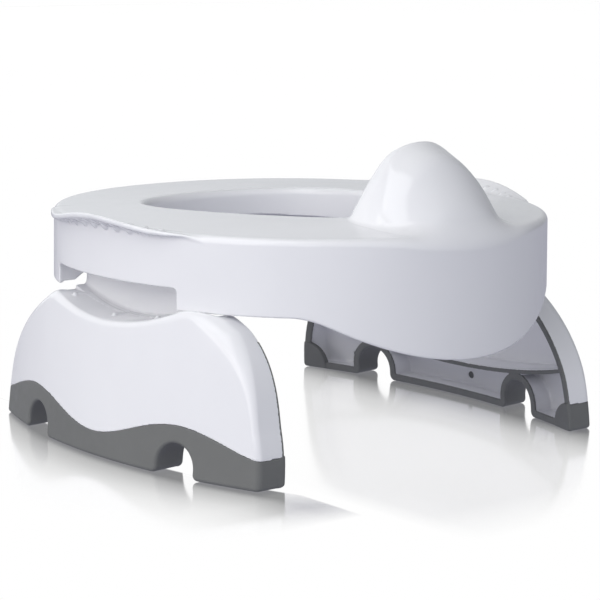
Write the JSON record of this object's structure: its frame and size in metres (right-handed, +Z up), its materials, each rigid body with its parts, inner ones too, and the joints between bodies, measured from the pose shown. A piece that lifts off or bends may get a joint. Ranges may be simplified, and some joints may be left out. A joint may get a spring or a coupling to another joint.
{
  "type": "folding travel potty",
  "caption": "Folding travel potty: an oval seat ring with a front splash guard on hinged, hollow D-shaped legs with soft grips, which also open out flat to sit over a toilet.",
  "frame": {"origin": "on the floor under the middle of the seat's length and width, legs standing", "axes": "+Z up, -Y towards the splash guard at the front, +X to the left of a seated child, across the legs' hinge axes"},
  "size_m": [0.297, 0.299, 0.177],
  "materials": {
    "white_shell": "gloss moulded white polypropylene",
    "soft_grip": "matt grey thermoplastic rubber, moulded over the shell",
    "pin_steel": "bright zinc-plated steel",
    "spring_steel": "satin spring steel"
  },
  "bodies": {
    "seat": {"seat_body": "white_shell", "hinge_pin_front_right": "pin_steel", "hinge_pin_rear_right": "pin_steel", "hinge_pin_front_left": "pin_steel", "hinge_pin_rear_left": "pin_steel", "pin_push_nuts": "spring_steel", "detent_spring_right": "spring_steel", "detent_spring_left": "spring_steel", "spring_screws": "pin_steel"},
    "right_leg": {"leg_right": "white_shell", "leg_grip_right": "soft_grip"},
    "left_leg": {"leg_left": "white_shell", "leg_grip_left": "soft_grip"}
  },
  "joints": [
    {"name": "right_leg_fold", "type": "hinge", "parent": "seat", "child": "right_leg", "pos_m": [-0.115, 0.0055, 0.103], "axis": [0, 1, 0], "range_deg": [-95.71, 84.29]},
    {"name": "left_leg_fold", "type": "hinge", "parent": "seat", "child": "left_leg", "pos_m": [0.115, 0.0055, 0.103], "axis": [0, -1, 0], "range_deg": [-95.71, 84.29]}
  ]
}
